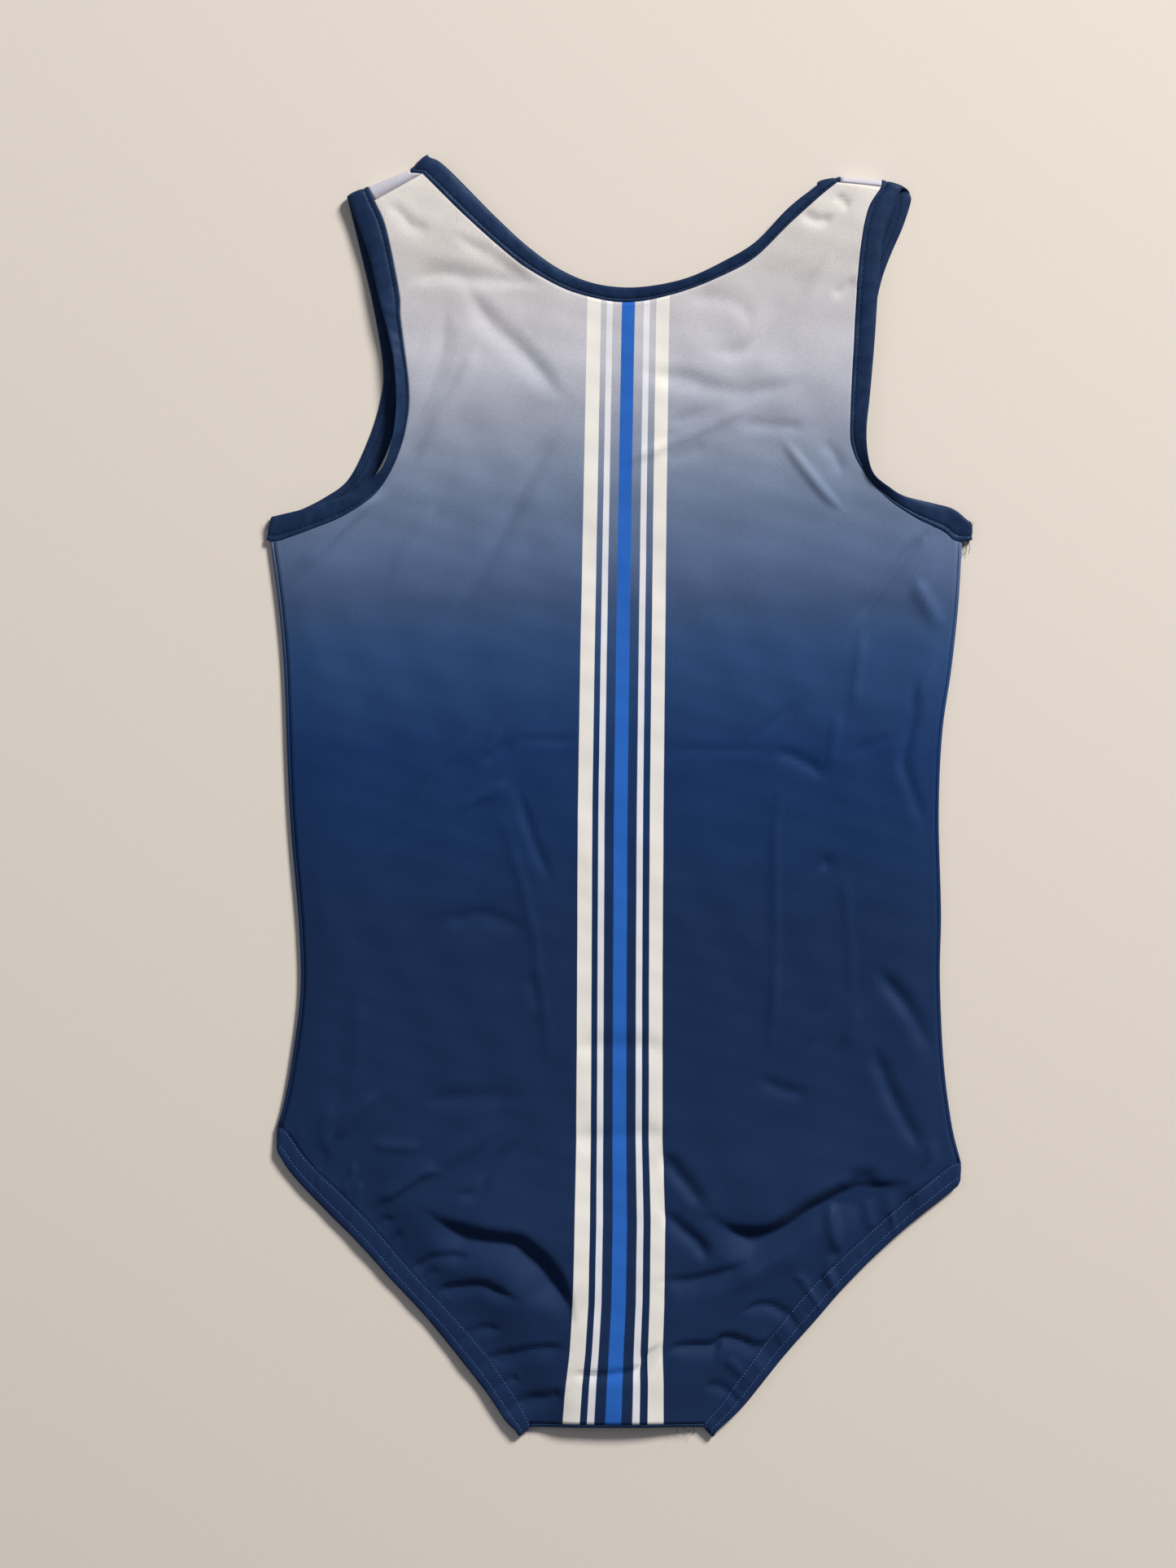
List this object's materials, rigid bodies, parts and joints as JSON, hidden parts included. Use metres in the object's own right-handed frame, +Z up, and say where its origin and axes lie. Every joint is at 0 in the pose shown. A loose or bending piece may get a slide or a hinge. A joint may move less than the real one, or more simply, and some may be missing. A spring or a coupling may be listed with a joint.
{
  "type": "leotard",
  "caption": "Sleeveless gymnastics leotard laid flat with its front up, with bound neck and armholes and elastic leg edges.",
  "frame": {"origin": "Centre of the garment's outline on the surface it lies on", "axes": "+X to the viewer's right across the garment, +Y towards the shoulders, +Z up from the surface, out of the front"},
  "size_m": [0.3029, 0.5514, 0.0076],
  "materials": {
    "printed_knit": "Smooth stretch knit with a soft sheen, shaded from white at the shoulders to navy, with vertical white, pale grey and blue stripes",
    "satin_binding": "Navy stretch binding with a satin sheen and a row of fine stitches",
    "leg_hem_knit": "Navy stretch knit turned over elastic, with two rows of fine stitches"
  },
  "bodies": {
    "root": {"front_panel": "printed_knit", "back_panel": "printed_knit", "neck_binding": "satin_binding", "armhole_binding_left": "satin_binding", "armhole_binding_right": "satin_binding", "leg_hem_left": "leg_hem_knit", "leg_hem_right": "leg_hem_knit"}
  },
  "joints": []
}
